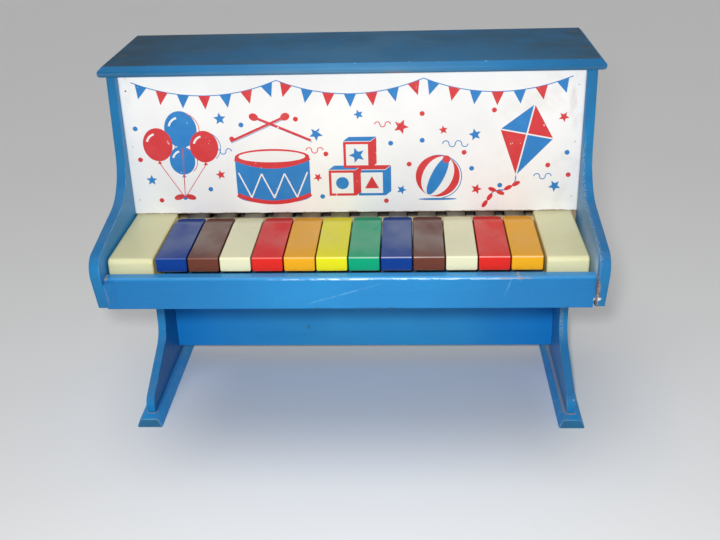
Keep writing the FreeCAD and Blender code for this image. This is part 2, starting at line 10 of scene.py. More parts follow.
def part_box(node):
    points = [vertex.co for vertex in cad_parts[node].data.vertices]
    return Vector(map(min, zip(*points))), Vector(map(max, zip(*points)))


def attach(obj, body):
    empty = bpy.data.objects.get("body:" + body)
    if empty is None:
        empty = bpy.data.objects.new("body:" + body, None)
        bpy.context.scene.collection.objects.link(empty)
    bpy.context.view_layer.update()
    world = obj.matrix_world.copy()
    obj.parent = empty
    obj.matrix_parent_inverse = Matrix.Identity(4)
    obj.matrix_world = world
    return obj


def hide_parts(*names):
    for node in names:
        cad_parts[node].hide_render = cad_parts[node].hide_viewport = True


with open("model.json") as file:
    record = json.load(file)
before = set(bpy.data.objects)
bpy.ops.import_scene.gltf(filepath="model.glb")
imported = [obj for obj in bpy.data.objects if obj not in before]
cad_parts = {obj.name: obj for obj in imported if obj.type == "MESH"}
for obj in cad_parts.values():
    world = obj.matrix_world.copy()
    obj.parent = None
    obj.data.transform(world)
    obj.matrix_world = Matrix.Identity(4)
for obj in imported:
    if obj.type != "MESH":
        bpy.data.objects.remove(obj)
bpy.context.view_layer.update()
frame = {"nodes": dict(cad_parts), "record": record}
nodes = frame["nodes"]
KEYS = 12
TOUCH = 0.01  # millimetres within which two places count as one
NAIL_HOLE = 6  # widest hole of a nail or screw, in millimetres
slot_of = {part["node"]: part["material_slot"] for part in frame["record"]["subparts"]}
body_of = {name: body for body, names in frame["record"]["behaviour"]["bodies"].items() for name in names}


def linear(red, green, blue):
    """A colour's light from its display values, 0 to 255."""
    parts = [part / 255 for part in (red, green, blue)]
    return tuple(part / 12.92 if part < 0.04045 else ((part + 0.055) / 1.055) ** 2.4 for part in parts)


BLUE = (28, 137, 202)
BLUE_DEEP = (16, 118, 184)
BLUE_WORN = (112, 168, 204)
FILLER = (176, 158, 140)
DUST = (150, 146, 136)
GRIME = (48, 44, 38)
BARE_WOOD = (140, 104, 76)
WHITE = (247, 247, 246)


class Value:
    """A number, vector or colour that changes from place to place."""

    def __init__(self, nodes, socket):
        self.nodes = nodes
        self.socket = socket

    def __add__(self, other):
        return self.nodes.sum("ADD", self, other)

    def __radd__(self, other):
        return self.nodes.sum("ADD", other, self)

    def __sub__(self, other):
        return self.nodes.sum("SUBTRACT", self, other)

    def __rsub__(self, other):
        return self.nodes.sum("SUBTRACT", other, self)

    def __mul__(self, other):
        return self.nodes.sum("MULTIPLY", self, other)

    def __rmul__(self, other):
        return self.nodes.sum("MULTIPLY", other, self)

    def __pow__(self, other):
        return self.nodes.sum("POWER", self, other)

    def __abs__(self):
        return self.nodes.sum("ABSOLUTE", self)

    def least(self, other):
        return self.nodes.sum("MINIMUM", self, other)

    def most(self, other):
        return self.nodes.sum("MAXIMUM", self, other)

    def sine(self):
        return self.nodes.sum("SINE", self)

    def rise(self, low, high):
        """0 at low, 1 at high and smooth between; falls where low is the larger."""
        sockets = {"Value": self, "From Min": low, "From Max": high}
        return self.nodes.node("ShaderNodeMapRange", {"interpolation_type": "SMOOTHSTEP"}, sockets)

    def near(self, middle, inner, outer):
        """1 within inner of the middle, 0 beyond outer."""
        return abs(self - middle).rise(outer, inner)


class Nodes:
    """A node tree that is written as expressions."""

    def __init__(self, tree):
        self.tree = tree

    def node(self, kind, settings=None, sockets=None, out=0):
        made = self.tree.nodes.new(kind)
        for name, value in (settings or {}).items():
            setattr(made, name, value)
        for name, value in (sockets or {}).items():
            self.feed(made.inputs[name], value)
        return Value(self, made.outputs[out])

    def feed(self, socket, value):
        if isinstance(value, Value):
            self.tree.links.new(value.socket, socket)
        elif socket.type == "RGBA":
            socket.default_value = (*linear(*value), 1.0)
        else:
            socket.default_value = value

    def sum(self, operation, *terms):
        return self.node("ShaderNodeMath", {"operation": operation}, dict(enumerate(terms)))

    def mix(self, first, second, share):
        return self.node("ShaderNodeMix", {"data_type": "RGBA"}, {0: share, 6: first, 7: second}, out=2)

    def parts(self, vector, scale=(1, 1, 1)):
        scaled = self.node("ShaderNodeVectorMath", {"operation": "MULTIPLY"}, {0: vector, 1: scale})
        split = self.node("ShaderNodeSeparateXYZ", None, {"Vector": scaled})
        return [Value(self, socket) for socket in split.socket.node.outputs]


class Finish(Nodes):
    """A surface whose colour, gloss and relief follow the place in millimetres."""

    def __init__(self, name, **constants):
        self.material = bpy.data.materials.new(name)
        self.material.use_nodes = True
        super().__init__(self.material.node_tree)
        self.shader = self.tree.nodes["Principled BSDF"]
        for socket, value in constants.items():
            self.shader.inputs[socket.replace("_", " ")].default_value = value
        self.colour = WHITE
        self.where = self.node("ShaderNodeTexCoord", out="Object")
        self.x, self.y, self.z = self.parts(self.where, (1000, 1000, 1000))
        facing = self.node("ShaderNodeTexCoord", out="Normal")
        self.nx, self.ny, self.nz = self.parts(facing)

    def noise(self, size, detail=3.0, rough=0.55, stretch=(1, 1, 1), shift=0.0, turn=(0, 0, 0)):
        """Cloudy pattern from 0 to 1, with spots about size millimetres wide."""
        scale = [1000 / size / part for part in stretch]
        turned = [math.radians(angle) for angle in turn]
        place = (shift, shift * 0.7, shift * 1.3)
        sockets = {"Vector": self.where, "Location": place, "Rotation": turned, "Scale": scale}
        spot = self.node("ShaderNodeMapping", None, sockets)
        sockets = {"Vector": spot, "Scale": 1.0, "Detail": detail, "Roughness": rough}
        return self.node("ShaderNodeTexNoise", None, sockets)

    def away(self, *spot):
        """Distance from a point; None leaves a direction out."""
        pairs = zip((self.x, self.y, self.z), spot)
        squares = [(here - there) ** 2 for here, there in pairs if there is not None]
        return sum(squares[1:], squares[0]) ** 0.5

    def edges(self):
        """1 on the eased edges of a square board, 0 on its flat faces."""
        flat = abs(self.nx).most(abs(self.ny)).most(abs(self.nz))
        return flat.rise(0.99, 0.9)

    def rims(self):
        """1 on the eased edges of a board that is sawn to an outline in the YZ plane."""
        across = abs(self.nx)
        return across.rise(0.1, 0.4) * across.rise(0.995, 0.92)

    def coat(self, colour, share):
        """Lay another colour over the one so far."""
        self.colour = self.mix(self.colour, colour, share)

    def done(self, rough, height=None, depth=0.1):
        self.feed(self.shader.inputs["Base Color"], self.colour)
        self.feed(self.shader.inputs["Roughness"], rough)
        if height is not None:
            sockets = {"Strength": 1.0, "Distance": depth / 1000, "Height": height}
            self.feed(self.shader.inputs["Normal"], self.node("ShaderNodeBump", None, sockets))
        return self.material


def limits(name):
    """Lowest and highest corner of a node in millimetres."""
    low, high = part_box(name)
    return Vector(low) * 1000, Vector(high) * 1000


def finish_node(name, material):
    """Give a node that stays as it is its surface."""
    piece = nodes[name]
    if not piece.material_slots:
        piece.data.materials.append(None)
    for place in piece.material_slots:
        place.material = material


def settle(mesh, name, material, body="case", hides=(), smooth=True):
    """Turn a bmesh in millimetres into a piece that rides on a body."""
    bmesh.ops.scale(mesh, vec=(0.001, 0.001, 0.001), verts=mesh.verts)
    for face in mesh.faces:
        face.smooth = smooth
    data = bpy.data.meshes.new(name)
    mesh.to_mesh(data)
    mesh.free()
    data.materials.append(material)
    piece = bpy.data.objects.new(name, data)
    bpy.context.scene.collection.objects.link(piece)
    if smooth:
        normals = piece.modifiers.new("shading", "WEIGHTED_NORMAL")
        normals.keep_sharp = True
        normals.weight = 80
    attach(piece, body)
    if hides:
        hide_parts(*hides)


def outlines(edges):
    """Those of the sharp edges whose run is wider than a nail hole; the others stay sharp."""
    waiting, kept = dict.fromkeys(edges), []
    while waiting:
        run, queue = [], [waiting.popitem()[0]]
        while queue:
            run.append(queue.pop())
            near = [other for vert in run[-1].verts for other in vert.link_edges if other in waiting]
            for other in near:
                del waiting[other]
            queue += near
        spots = [vert.co for edge in run for vert in edge.verts]
        if max((spot - spots[0]).length for spot in spots) > NAIL_HOLE:
            kept += run
        else:
            for edge in run:
                edge.smooth = False
    return kept


def ease(mesh, edges, width, segments, clamp=True):
    """Round edges over, by a width in millimetres."""
    bmesh.ops.bevel(
        mesh, geom=edges, offset=width, offset_type="OFFSET", segments=segments, profile=0.5,
        affect="EDGES", material=-1, clamp_overlap=clamp)


def sharp_edges(mesh, angle=28):
    return [edge for edge in mesh.edges if edge.calc_face_angle(0) > math.radians(angle)]


def edges_where(mesh, test):
    return [edge for edge in mesh.edges if all(test(vert.co) for vert in edge.verts)]


def copy_of(name):
    """A node's closed shape as a bmesh in millimetres, with its flat faces whole."""
    mesh = bmesh.new()
    mesh.from_mesh(nodes[name].data)
    bmesh.ops.scale(mesh, vec=(1000, 1000, 1000), verts=mesh.verts)
    bmesh.ops.remove_doubles(mesh, verts=mesh.verts, dist=TOUCH)
    flat = math.radians(0.6)
    bmesh.ops.dissolve_limit(mesh, angle_limit=flat, verts=mesh.verts, edges=mesh.edges)
    return mesh


def dress(name, material, width, segments=3):
    """Show a copy of a node with its edges eased by a width in millimetres."""
    mesh = copy_of(name)
    ease(mesh, outlines(sharp_edges(mesh)), width, segments)
    show_for(name, mesh, material)


def show_for(name, mesh, material):
    """Let a bmesh stand for a node, on the node's own body and in its slot."""
    finish_node(name, material)
    settle(mesh, f"{name}_finished", material, body_of[name], hides=(name,))


# painted case

SIDE_INNER, SIDE_OUTER = (corner.x for corner in limits("right_side"))
SIDE_MIDDLE = (SIDE_INNER + SIDE_OUTER) / 2
SLIP_LOW, SLIP_HIGH = limits("key_slip")


def paint_coat(finish, grain, light=BLUE, deep=BLUE_DEEP):
    """Brushed blue paint with a trace of the board's grain, which it gives as a height."""
    cloud = finish.noise(85, 3)
    strokes = finish.noise(5, 4, stretch=grain, shift=3)
    grit = finish.noise(0.9, 2, shift=9)
    tone = (cloud * 0.65 + strokes * 0.2 + grit * 0.15).rise(0.34, 0.66)
    finish.colour = finish.mix(deep, light, tone)
    return strokes * 0.6 + grit * 0.4


def wear(finish, edge, share):
    """Paint rubbed pale along the edges, and through to the filler in places."""
    rub = finish.noise(16, 4, 0.65, shift=20)
    rubbed = edge * rub.rise(0.62 - 0.3 * share, 0.8 - 0.3 * share)
    finish.coat(BLUE_WORN, rubbed * 0.6)
    chip = finish.noise(4.5, 3, 0.6, shift=31)
    chipped = edge * (chip * 0.6 + rub * 0.4).rise(0.68 - 0.12 * share, 0.71 - 0.12 * share)
    finish.coat(FILLER, chipped * 0.85)


def dust(finish, amount):
    """Grey dust that lies on what faces up."""
    patch = finish.noise(26, 5, 0.62, shift=47)
    lies = finish.nz.rise(0.35, 0.95) * patch.rise(0.25, 0.75)
    finish.coat(DUST, lies * amount)


def lid_paint():
    f = Finish("lid_paint", Specular_IOR_Level=0.15)
    low, high = limits("top_lid")
    height = paint_coat(f, (14, 1, 1), (28, 118, 174), (18, 102, 158))
    # top written darker, partly as painted shade where light grazes it and partly as dust, with smears
    # and the grain showing
    top = f.nz.rise(0.9, 0.99)
    fibre = f.noise(2.2, 4, 0.6, stretch=(18, 1, 1), shift=5)
    smear = f.noise(64, 4, 0.6, stretch=(2.6, 1, 1), shift=12, turn=(0, 0, 16))
    top_shade_and_dust = f.mix((42, 86, 110), (42, 95, 132), fibre.rise(0.38, 0.62))
    rubbed = f.x.near(15, 20, 120) * f.noise(46, 3, shift=57).rise(0.3, 0.65)
    top_shade_and_dust = f.mix(top_shade_and_dust, (76, 122, 152), rubbed * 0.6)
    top_shade_and_dust = f.mix(top_shade_and_dust, (34, 106, 154), f.noise(52, 4, shift=70).rise(0.47, 0.64) * 0.55)
    top_shade_and_dust = f.mix(top_shade_and_dust, (106, 114, 114), smear.rise(0.48, 0.68) * 0.6)
    ends = abs(f.x).rise(80, high.x - 1.5) * f.noise(30, 4, shift=82).rise(0.3, 0.65)
    top_shade_and_dust = f.mix(top_shade_and_dust, (40, 60, 68), ends * 0.7)
    mottle = f.noise(7, 5, 0.7, shift=91)
    top_shade_and_dust = f.mix(top_shade_and_dust, (30, 54, 72), mottle.rise(0.55, 0.75) * 0.4)
    top_shade_and_dust = f.mix(top_shade_and_dust, (50, 120, 168), f.x.near(40, 50, 145) * f.y.rise(80, 10) * 0.5)
    top_shade_and_dust = f.mix(top_shade_and_dust, (28, 50, 64), f.x.rise(-90, low.x + 7.5) * 0.35)
    f.coat(top_shade_and_dust, top * 0.95)
    # front edge painted darker at its ends as painted shade and lighter in streaks across the middle as a
    # painted highlight, with a rubbed streak low down and greyer towards its lower edge
    front = f.ny.rise(-0.45, -0.8)
    run = f.noise(1.0, 3, 0.6, stretch=(45, 1, 1), shift=15)
    along = abs(f.x - 5)
    f.coat((108, 164, 196), front * along.rise(140, 20) * (0.08 + 0.5 * run))
    f.coat((20, 84, 124), front * along.rise(90, high.x - 2.5) * 0.45)
    fade = f.noise(60, 2, stretch=(2, 1, 1), shift=21)
    worn_low = front * f.z.near(low.z + 2.3, 0.5, 1.9) * run.rise(0.44, 0.6)
    f.coat((160, 146, 122), worn_low * (fade - f.x * 0.0009).rise(0.3, 0.62) * 0.16)
    splinter = f.noise(2.2, 4, 0.7, stretch=(2, 1, 1), shift=27)
    scrape = f.x.near(36, 5, 11) * (f.z + splinter * 2.4).rise(low.z + 3.1, low.z + 2.5)
    f.coat((158, 116, 98), scrape * front * 0.85)
    darker_below = front * f.z.rise(low.z + 4.6, low.z + 1.0)
    f.coat((84, 120, 140), darker_below * 0.35)
    # paler flecks along its upper corner
    corner = f.z.near(high.z - 0.25, 0.25, 0.6) * f.ny.rise(-0.1, -0.3)
    fleck = f.noise(2.4, 3, 0.6, stretch=(2.5, 1, 1), shift=33) + f.x * 0.00035
    f.coat((196, 214, 224), corner * fleck.rise(0.665, 0.72) * 0.7)
    tips = abs(f.x).rise(high.x - 4.0, high.x - 0.7) * (1 - top)
    f.coat(BLUE_WORN, tips * f.noise(5, 3, shift=40).rise(0.45, 0.7) * 0.6)
    # nails set below the paint near both ends
    nails_low, nails_high = limits("lid_nails")
    radius = nails_high.x - SIDE_MIDDLE
    across = abs(f.x) - SIDE_MIDDLE
    ahead = (f.y - nails_low.y - radius) ** 2
    spot = (across ** 2 + ahead.least((f.y - nails_high.y + radius) ** 2)) ** 0.5
    stain = spot.rise(4.6, 1.8) * top * f.noise(3, 3, shift=4).rise(0.35, 0.6)
    f.coat((96, 88, 74), stain * 0.6)
    f.coat(GRIME, spot.rise(1.9, 0.9) * top * 0.85)
    height = height - spot.rise(2.6, 0.8) * 3
    rough = 0.36 + top * 0.22 + fibre * 0.08
    return f.done(rough, height, 0.1)


def side_paint():
    f = Finish("side_paint", Specular_IOR_Level=0.14)
    bed, shelf = SLIP_LOW.z, SLIP_HIGH.z
    nose = limits("right_side")[0].y
    height = paint_coat(f, (1, 1, 9))
    inside = (f.x * f.nx).rise(0.0, -40.0)
    lip = 1 - abs(f.nx).rise(0.3, 0.8)
    dull = f.noise(34, 4, 0.6, shift=4)
    # the sawn front edges are greyer than the faces, with painted shade where they face up and brighter
    # down the legs
    low = f.z.rise(bed, bed - 20)
    f.coat((44, 104, 142), lip * (0.3 + 0.4 * dull.rise(0.3, 0.7)) * (1 - 0.6 * low))
    f.coat((14, 100, 156), lip * f.nz.rise(0.2, 0.7) * 0.45)
    f.coat((44, 150, 212), lip * low * 0.25)
    # dust clings to the inner faces of the arms, more on the right; beside the end block it is painted
    # very pale, as painted light in the gap's shade
    right = f.x.rise(100, 170)
    arm = inside * f.z.rise(shelf - 1, shelf + 3) * f.y.rise(2, -6)
    film = f.noise(9, 4, 0.6, shift=8)
    upper = arm * f.z.rise(shelf + 2, shelf + 34)
    f.coat((84, 146, 186), upper * (1 - right) * (0.25 + 0.3 * film))
    f.coat((24, 112, 172), upper * right * (0.5 - 0.4 * film))
    grey = arm * f.z.rise(shelf + 40, shelf + 14) * (0.1 + 0.3 * film) * f.x.rise(-300, SIDE_INNER)
    f.coat((136, 168, 194), grey)
    dust_and_light_by_block = inside * right * f.z.rise(shelf + 22, shelf + 4) * f.z.rise(bed, bed + 6)
    dust_and_light_by_block = dust_and_light_by_block * f.y.rise(nose + 5.6, nose + 11.6)
    f.coat((204, 228, 252), dust_and_light_by_block * f.y.rise(14, -76) * (0.7 + 0.3 * film))
    stipple = f.noise(1.5, 3, 0.7, shift=19).rise(0.46, 0.6) * f.x.near(SIDE_INNER + 0.8, 0.5, 1.6)
    stipple = stipple * right * f.z.rise(shelf + 10, shelf + 18) * f.z.rise(shelf + 82, shelf + 66)
    f.coat((150, 166, 172), stipple * f.y.rise(2, -6) * 0.6)
    # torn inner corner of the right arm, along the slip's end, with a white flake low down
    ragged = f.noise(2.4, 4, 0.7, shift=63)
    depth = f.x - SIDE_INNER
    ahead = f.y.rise(SLIP_LOW.y + 3.0, SLIP_LOW.y + 1.5)
    torn = (depth + ragged * 2.4 + f.z.rise(bed + 16, bed + 30) * 2.4).rise(3.6, 3.1)
    torn = torn * right * ahead * f.z.rise(shelf + 8.0, shelf + 4.0)
    wood = f.mix((104, 84, 70), (168, 150, 134), ragged.rise(0.35, 0.65))
    wood = f.mix(wood, (40, 32, 28), depth.rise(1.4, 0.6) * f.z.rise(bed + 6, bed + 4.5))
    f.coat(wood, torn * 0.9)
    flake = f.noise(1.2, 4, 0.75, shift=36)
    across, up = depth - 2.4, f.z - bed - 7.2
    chip = (across * 0.33 + up).most(across * 0.8 - up * 0.6).most(across * -1.0 - up * 0.36)
    chip = (chip + flake * 2.4).rise(2.5, 2.2)
    f.coat((220, 218, 212), chip * right * f.y.rise(SLIP_LOW.y + 3.5, SLIP_LOW.y + 2))
    # shaded inner faces of the legs, dustier on the right
    leg = inside * f.z.rise(bed + 2, bed - 4)
    f.coat((4, 60, 120), leg * f.x.rise(170, -170) * 0.6)
    f.coat((92, 142, 176), leg * f.x.rise(0, 170) * film.rise(0.3, 0.65) * 0.5)
    # dusty stripe down the front of the legs, chips by the toes
    shin = f.noise(7, 5, 0.66, stretch=(1, 1, 2), shift=52).rise(0.42, 0.66)
    f.coat((118, 152, 168), shin * lip * f.z.rise(bed - 2, bed - 18) * 0.08)
    grit = f.noise(2.0, 3, 0.7, shift=29).rise(0.36, 0.58) * depth.near(1.8, 1.0, 2.4) * lip
    grit = grit * f.z.rise(bed - 2, bed - 12) * f.z.rise(40, 60)
    f.coat((150, 164, 168), grit * 0.55)
    dust(f, 0.12)
    joined = f.x.rise(-100, -170) * f.z.near(bed + 10, 10, 14) * f.y.rise(-60, -90)
    wear(f, f.rims() * (1 - 0.8 * joined), 0.5)
    fleck = f.noise(3.4, 2, 0.6, shift=61).rise(0.72, 0.75) * (1 - abs(f.nx).rise(0.85, 0.98))
    f.coat((208, 206, 198), fleck * f.z.rise(95, 60) * 0.8)
    rough = 0.34 + 0.14 * lip * dull + 0.1 * film
    return f.done(rough, height, 0.1)


def slip_paint():
    f = Finish("slip_paint", Specular_IOR_Level=0.35)
    low, high = SLIP_LOW, SLIP_HIGH
    height = paint_coat(f, (16, 1, 1), (22, 133, 196), (16, 122, 186))
    f.coat((4, 104, 166), abs(f.x - 10).rise(20, 180) * 0.75)
    # painted reflection: the top face paler, in patches
    shelf = f.nz.rise(0.75, 0.97)
    film = f.noise(14, 4, 0.6, stretch=(2, 1, 1), shift=54)
    f.coat((84, 160, 208), shelf * (0.1 + 0.5 * film))
    # rounded top edge with a painted highlight, brightest in the middle with a broken painted glint, and
    # scuffed through on the right
    ridge_highlight = f.z.rise(high.z - 2.5, high.z - 1.2) * f.ny.rise(0.3, -0.2)
    centre = f.x.near(36, 30, 90)
    f.coat((66, 164, 228), ridge_highlight * (0.3 + 0.4 * centre))
    rub = f.noise(1.6, 4, 0.7, stretch=(5, 1, 1), shift=44) + f.noise(24, 2, shift=74) * 0.5
    painted_glint = f.z.near(high.z - 1.4, 0.25, 0.85) * f.ny.rise(-0.3, -0.6) * f.x.near(34, 40, 110)
    f.coat((206, 232, 248), painted_glint * rub.rise(0.66, 0.84) * 0.9)
    flake = f.noise(1.3, 4, 0.75, stretch=(2.2, 1, 1), shift=5)
    patchy = f.noise(7, 3, 0.6, shift=25)
    strip = f.x.near(118.6, 9, 14) * f.z.near(high.z - 1.2, 0.15, 0.8) * f.ny.rise(-0.1, -0.4)
    strip = strip * (flake * 0.5 + patchy * 0.5).rise(0.42, 0.52)
    f.coat((150, 140, 140), strip * 0.85)
    bare = f.away(120.4, None, high.z - 0.9) * 0.55 + flake * 4.0
    f.coat((200, 184, 164), bare.rise(2.6, 2.25) * 0.9)
    # two scratches on the front
    front = f.ny.rise(-0.7, -0.95)
    for x, up, half, slope in ((-1.6, 11.6, 30, 0.292), (112.8, 14.7, 2.8, 2.77)):
        along = f.x - x
        off = f.z - low.z - up - along * slope
        broken = f.noise(3, 2, stretch=(2, 1, 2), shift=x).rise(0.35, 0.6)
        line = off.near(0, 0.12 * (1 + slope), 0.42 * (1 + slope)) * along.near(0, half * 0.7, half)
        f.coat((130, 196, 234), front * line * (0.12 + 0.34 * broken))
    # glue line at the left end, grime along the lower edge
    glue = f.x.near(low.x + 1.2, 0.3, 0.9) * front * f.z.rise(low.z + 1, low.z + 6)
    f.coat((120, 160, 184), glue * f.noise(7, 3, shift=14).rise(0.3, 0.5) * 0.22)
    under = f.z.rise(low.z + 1.5, low.z + 0.3)
    f.coat(GRIME, under * f.noise(6, 3, stretch=(3, 1, 1), shift=2).rise(0.52, 0.68) * 0.6)
    # torn right end, with white bits of ground coat low down
    tear = f.x - high.x + f.noise(1.8, 4, 0.7, shift=77) * 2.4
    f.coat(BARE_WOOD, tear.rise(0.9, 1.3) * 0.9)
    ground = tear.rise(-0.2, 0.2) * f.z.rise(low.z + 8, low.z + 6)
    f.coat((226, 222, 214), ground * 0.9)
    rough = 0.2 + f.noise(20, 3, shift=33) * 0.1 + f.noise(1.5, 2, shift=3) * 0.05
    return f.done(rough, height, 0.06)


def bed_paint():
    f = Finish("bed_paint", Specular_IOR_Level=0.25)
    height = paint_coat(f, (16, 1, 1))
    dust(f, 0.5)
    wear(f, f.edges(), 0.2)
    return f.done(0.32 + f.noise(24, 3, shift=33) * 0.14, height, 0.08)


def knee_paint():
    f = Finish("knee_paint", Specular_IOR_Level=0.2)
    low, high = limits("knee_board")
    height = paint_coat(f, (16, 1, 1), (42, 152, 214), (26, 136, 204))
    ends = abs(f.x).rise(60, high.x - 9.6)
    f.coat((10, 128, 216), ends * 0.6)
    cloud = f.noise(50, 3, stretch=(2, 1, 1), shift=5)
    f.coat((84, 156, 200), (1 - ends) * cloud * 0.3)
    smudge = f.away(-50.5, None, low.z + 19.4) + f.noise(3, 4, 0.7, shift=6) * 3
    f.coat((60, 110, 140), smudge.rise(4.4, 2.6) * 0.6)
    chip = abs(f.x - 149.5) * 0.5 + f.z - low.z + f.noise(2, 3, 0.6, shift=16) * 2
    f.coat((164, 134, 112), chip.rise(2.2, 1.8) * 0.8)
    dust(f, 0.3)
    wear(f, f.edges(), 0.3)
    return f.done(0.32 + f.noise(24, 3, shift=33) * 0.14, height, 0.08)


def foot_paint():
    f = Finish("foot_paint", Specular_IOR_Level=0.2)
    end = limits("right_foot")[0].y
    toe = end + 13.4
    height = paint_coat(f, (1, 12, 1), (42, 156, 220), (28, 138, 204))
    ragged = f.noise(9, 4, 0.65, shift=6)
    up = f.nz.rise(0.3, 0.75)
    # dust on the inner half of the top
    out = abs(f.x) - SIDE_MIDDLE
    inner = up * out.rise(2.7, -4.3)
    streak = f.noise(12, 4, 0.6, stretch=(1, 4, 1), shift=8)
    f.coat((116, 158, 184), inner * streak.rise(0.35, 0.7) * 0.5)
    # line of old filler round the toe of each side board, longer and wider on the right
    across = (abs(out) - 0.8).most(0.0)
    ahead = (toe - f.y).most(0.0)
    away = (across ** 2 + ahead ** 2) ** 0.5
    right = f.x.rise(-100, 100)
    reach = right.most(f.y.rise(toe + 1.2, toe - 2.8)) * out.rise(5.7, 2.7)
    line = (away - 4.1 - ragged * 0.8 + 0.4).near(0, 0.35 + 0.3 * right, 1.0 + 0.9 * right)
    line = line * reach * up * ragged.rise(0.22, 0.42)
    f.coat((180, 168, 160), line * 0.75)
    # pale corners of the front ends
    front = f.y.rise(end + 2.6, end + 0.2)
    face = front * f.ny.rise(-0.6, -0.95)
    f.coat((46, 98, 130), face * (0.6 + 0.4 * ragged))
    rim = f.edges() * front
    f.coat((176, 196, 196), rim * ragged.rise(0.3, 0.6) * 0.36)
    wear(f, f.edges(), 0.35)
    return f.done(0.4 + 0.12 * ragged, height, 0.1)


def nail_end():
    f = Finish("nail_end")
    spots = f.noise(0.9, 3, shift=2)
    f.colour = f.mix((62, 58, 54), (104, 72, 48), spots.rise(0.4, 0.65))
    return f.done(0.6 + 0.2 * spots, spots, 0.1)


def painted_nail():
    """Nail heads under the panel's white, bare on the upper left one."""
    f = Finish("painted_nail")
    low, high = limits("panel_nails")
    spots = f.noise(0.8, 3, shift=2)
    bare = f.x.rise(low.x + 20, low.x + 10) * f.z.rise(high.z - 15, high.z - 9)
    f.colour = f.mix((216, 214, 208), (180, 172, 160), spots.rise(0.45, 0.7))
    f.coat((86, 78, 66), bare * 0.9)
    return f.done(0.5 + 0.2 * spots, spots, 0.05)


def foot_bar(name, material):
    """A foot with the outlines of both its ends rounded over."""
    mesh = copy_of(name)
    low, high = limits(name)
    for edge in sharp_edges(mesh):
        edge.smooth = False
    ends = edges_where(mesh, lambda spot: min(spot.y - low.y, high.y - spot.y) < TOUCH)
    for edge in ends:
        edge.smooth = True
    ease(mesh, ends, 1.0, 4, clamp=False)
    show_for(name, mesh, material)


dress("top_lid", lid_paint(), 0.5)
sides = side_paint()
dress("left_side", sides, 0.6)
dress("right_side", sides, 0.6)
dress("knee_board", knee_paint(), 0.5)
dress("key_bed", bed_paint(), 0.4)
feet = foot_paint()
foot_bar("left_foot", feet)
foot_bar("right_foot", feet)
nail_ends = nail_end()
for name in ("lid_nails", "side_nails", "back_nails"):
    finish_node(name, nail_ends)
finish_node("panel_nails", painted_nail())


# key slip and its joints


def block(low, high):
    """A bmesh box between two corners."""
    mesh = bmesh.new()
    low, high = Vector(low), Vector(high)
    place = Matrix.Translation((low + high) / 2) @ Matrix.Diagonal((*(high - low), 1))
    bmesh.ops.create_cube(mesh, size=1, matrix=place)
    return mesh


def key_slip(material):
    """Rail in front of the keys, leaning back a little and broken at its lower right corner."""
    low, high = SLIP_LOW, SLIP_HIGH
    lean, open_joint, round_edge, round_corner = 1.2, 0.2, 2.0, 3.0
    broken_height, broken_depth = 5.5, 0.7
    front, tail = low.y + lean + TOUCH, high.x - 5
    mesh = block(low, high)
    for vert in mesh.verts:
        if vert.co.x > 0:
            vert.co.x -= open_joint
        if vert.co.z > low.z and vert.co.y < low.y + TOUCH:
            vert.co.y += lean
    brow = edges_where(mesh, lambda spot: spot.z > high.z - TOUCH and spot.y < front)
    ease(mesh, brow, round_edge, 7)
    corner = edges_where(mesh, lambda spot: spot.x < low.x + TOUCH and spot.z > high.z - round_edge - 0.2)
    ease(mesh, corner, round_corner, 6)
    upright = edges_where(mesh, lambda spot: spot.x > tail and spot.y < front and spot.z < high.z - 1)
    bmesh.ops.subdivide_edges(mesh, edges=upright, cuts=16)
    rng = random.Random(4)
    for vert in mesh.verts:
        if vert.co.x > tail and vert.co.y < low.y + lean and vert.co.z < high.z - round_edge - 0.5:
            broken = broken_depth if vert.co.z < low.z + broken_height else 0.0
            vert.co.x += rng.uniform(-0.4, 0.3) - broken
    ease(mesh, sharp_edges(mesh, 50), 0.3, 2)
    bmesh.ops.recalc_face_normals(mesh, faces=mesh.faces)
    settle(mesh, "slip_rail", material, hides=("key_slip",))


slip_blue = slip_paint()
key_slip(slip_blue)


def crumb_finish(name, dark, pale):
    f = Finish(name)
    grain = f.noise(1.3, 4, 0.7, shift=3)
    f.colour = f.mix(dark, pale, grain.rise(0.35, 0.7))
    f.coat((70, 52, 42), f.noise(3, 3, shift=9).rise(0.6, 0.7) * 0.7)
    f.coat((40, 32, 28), f.z.rise(SLIP_LOW.z + 7.2, SLIP_LOW.z + 5.2) * 0.8)
    return f.done(0.85 + 0.1 * grain, grain, 0.5)


def joint_filler():
    """Filler left in the open joint at the slip's right end, and at its left corner."""
    low, high = SLIP_LOW, SLIP_HIGH
    rear = high.y - 0.5
    wide, crumbly = 2.4, 0.22
    rng = random.Random(11)
    mesh = block((high.x - wide, low.y + 2.2, low.z + 1.2), (high.x, rear, high.z - 0.6))
    bmesh.ops.subdivide_edges(mesh, edges=mesh.edges, cuts=9, use_grid_fill=True)
    for vert in mesh.verts:
        if vert.co.x < high.x - TOUCH:
            vert.co += Vector([rng.uniform(-crumbly, crumbly) for _ in range(3)])
    dark = crumb_finish("dark_filler", (92, 70, 56), (160, 140, 122))
    settle(mesh, "right_joint_filler", dark, smooth=False)
    wide, tall, round_corner = 3.4, 5.8, 1.6
    top = high.z - 0.2
    mesh = block((low.x, low.y + 1.6, top - tall), (low.x + wide, rear, top))
    corner = edges_where(mesh, lambda spot: spot.x > low.x + wide - TOUCH and spot.z > top - TOUCH)
    ease(mesh, corner, round_corner, 3)
    pale = crumb_finish("pale_filler", (138, 136, 130), (176, 174, 168))
    settle(mesh, "left_joint_filler", pale, smooth=False)


